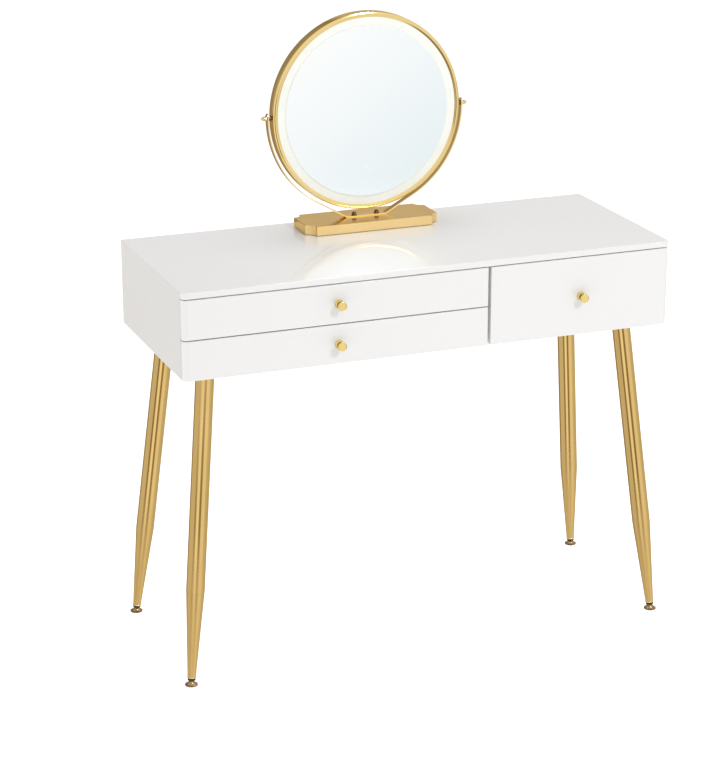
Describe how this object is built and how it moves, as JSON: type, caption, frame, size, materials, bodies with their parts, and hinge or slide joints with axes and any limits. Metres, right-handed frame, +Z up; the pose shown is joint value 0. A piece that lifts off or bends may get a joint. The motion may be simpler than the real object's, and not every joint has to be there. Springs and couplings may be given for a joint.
{
  "type": "vanity table with mirror",
  "caption": "White vanity table with splayed gold legs, drawers with round gold knobs, and a round lit mirror that tilts in a gold yoke.",
  "frame": {"origin": "on the floor, under the middle of the whole object's footprint", "axes": "+X along the table to the sitter's right, +Y away from the sitter towards the wall, +Z up"},
  "size_m": [1.0168, 0.42, 1.22],
  "materials": {
    "white_lacquer": "gloss lacquer on board",
    "drawer_board": "satin melamine on board",
    "beech": "raw",
    "zinc_steel": "zinc plated",
    "brushed_gold": "gold plated, satin",
    "satin_gold": "gold plated, satin",
    "polished_gold": "polished",
    "bronze": "polished",
    "dark_bronze": "satin",
    "dark_collar": "satin",
    "pad_rubber": "matte",
    "frosted_acrylic": "frosted, lit from behind",
    "mirror_silver": "polished",
    "cover_plastic": "fine grain",
    "circuit_board": "satin"
  },
  "bodies": {
    "carcass": {"top_panel": "white_lacquer", "bottom_panel": "white_lacquer", "left_side_panel": "white_lacquer", "right_side_panel": "white_lacquer", "centre_partition": "white_lacquer", "back_panel": "white_lacquer", "cam_fittings": "zinc_steel", "wood_dowels": "beech", "runner_cabinet_members": "zinc_steel", "leg_plates": "zinc_steel", "leg_plate_screws": "zinc_steel", "leg_foot_collars": "dark_collar", "leg_front_left": "brushed_gold", "leg_front_right": "brushed_gold", "leg_back_left": "brushed_gold", "leg_back_right": "brushed_gold"},
    "front_left_foot": {"leveller_front_left": "bronze"},
    "front_right_foot": {"leveller_front_right": "bronze"},
    "back_left_foot": {"leveller_back_left": "bronze"},
    "back_right_foot": {"leveller_back_right": "bronze"},
    "upper_left_drawer": {"upper_left_front": "white_lacquer", "upper_left_knob": "polished_gold", "upper_left_knob_screw": "zinc_steel", "upper_left_left_side": "drawer_board", "upper_left_right_side": "drawer_board", "upper_left_back": "drawer_board", "upper_left_bottom": "drawer_board", "upper_left_runners": "zinc_steel"},
    "upper_left_middle_members": {"upper_left_middle_runners": "zinc_steel"},
    "lower_left_drawer": {"lower_left_front": "white_lacquer", "lower_left_knob": "polished_gold", "lower_left_knob_screw": "zinc_steel", "lower_left_left_side": "drawer_board", "lower_left_right_side": "drawer_board", "lower_left_back": "drawer_board", "lower_left_bottom": "drawer_board", "lower_left_runners": "zinc_steel"},
    "lower_left_middle_members": {"lower_left_middle_runners": "zinc_steel"},
    "right_drawer": {"right_front": "white_lacquer", "right_knob": "polished_gold", "right_knob_screw": "zinc_steel", "right_left_side": "drawer_board", "right_right_side": "drawer_board", "right_back": "drawer_board", "right_bottom": "drawer_board", "right_runners": "zinc_steel"},
    "right_middle_members": {"right_middle_runners": "zinc_steel"},
    "mirror_stand": {"mirror_base": "satin_gold", "mirror_base_pads": "pad_rubber", "yoke": "satin_gold", "yoke_bolts": "dark_bronze"},
    "mirror_head": {"mirror_frame": "polished_gold", "light_diffuser": "frosted_acrylic", "mirror_glass": "mirror_silver", "mirror_back_cover": "cover_plastic", "mirror_electronics": "circuit_board", "pivot_studs": "dark_bronze"},
    "left_tilt_knob": {"left_pivot_knob": "polished_gold"},
    "right_tilt_knob": {"right_pivot_knob": "polished_gold"}
  },
  "joints": [
    {"name": "upper_left_drawer_slide", "type": "slide", "parent": "carcass", "child": "upper_left_drawer", "axis": [0, -1, 0], "range_m": [0, 0.28]},
    {"name": "upper_left_middle_slide", "type": "slide", "parent": "carcass", "child": "upper_left_middle_members", "axis": [0, -1, 0], "range_m": [0, 0.14]},
    {"name": "lower_left_drawer_slide", "type": "slide", "parent": "carcass", "child": "lower_left_drawer", "axis": [0, -1, 0], "range_m": [0, 0.28]},
    {"name": "lower_left_middle_slide", "type": "slide", "parent": "carcass", "child": "lower_left_middle_members", "axis": [0, -1, 0], "range_m": [0, 0.14]},
    {"name": "right_drawer_slide", "type": "slide", "parent": "carcass", "child": "right_drawer", "axis": [0, -1, 0], "range_m": [0, 0.28]},
    {"name": "right_middle_slide", "type": "slide", "parent": "carcass", "child": "right_middle_members", "axis": [0, -1, 0], "range_m": [0, 0.14]},
    {"name": "mirror_lift", "type": "slide", "parent": "carcass", "child": "mirror_stand", "axis": [0, 0, 1], "range_m": [0, 0.15]},
    {"name": "mirror_tilt", "type": "hinge", "parent": "mirror_stand", "child": "mirror_head", "pos_m": [-0.011, 0.142, 1.023], "axis": [1, 0, 0], "continuous": true},
    {"name": "left_knob_turn", "type": "hinge", "parent": "mirror_head", "child": "left_tilt_knob", "pos_m": [-0.2338, 0.142, 1.023], "axis": [-1, 0, 0], "range_deg": [0, 360]},
    {"name": "right_knob_turn", "type": "hinge", "parent": "mirror_head", "child": "right_tilt_knob", "pos_m": [0.2118, 0.142, 1.023], "axis": [1, 0, 0], "range_deg": [0, 360]},
    {"name": "front_left_foot_screw", "type": "slide", "parent": "carcass", "child": "front_left_foot", "axis": [-0.0984, -0.0984, -0.9903], "range_m": [0, 0.008]},
    {"name": "front_right_foot_screw", "type": "slide", "parent": "carcass", "child": "front_right_foot", "axis": [0.0984, -0.0984, -0.9903], "range_m": [0, 0.008]},
    {"name": "back_left_foot_screw", "type": "slide", "parent": "carcass", "child": "back_left_foot", "axis": [-0.0984, 0.0984, -0.9903], "range_m": [0, 0.008]},
    {"name": "back_right_foot_screw", "type": "slide", "parent": "carcass", "child": "back_right_foot", "axis": [0.0984, 0.0984, -0.9903], "range_m": [0, 0.008]}
  ],
  "couplings": [
    {"joint": "upper_left_middle_slide", "follows": "upper_left_drawer_slide", "ratio": 0.5},
    {"joint": "lower_left_middle_slide", "follows": "lower_left_drawer_slide", "ratio": 0.5},
    {"joint": "right_middle_slide", "follows": "right_drawer_slide", "ratio": 0.5}
  ]
}
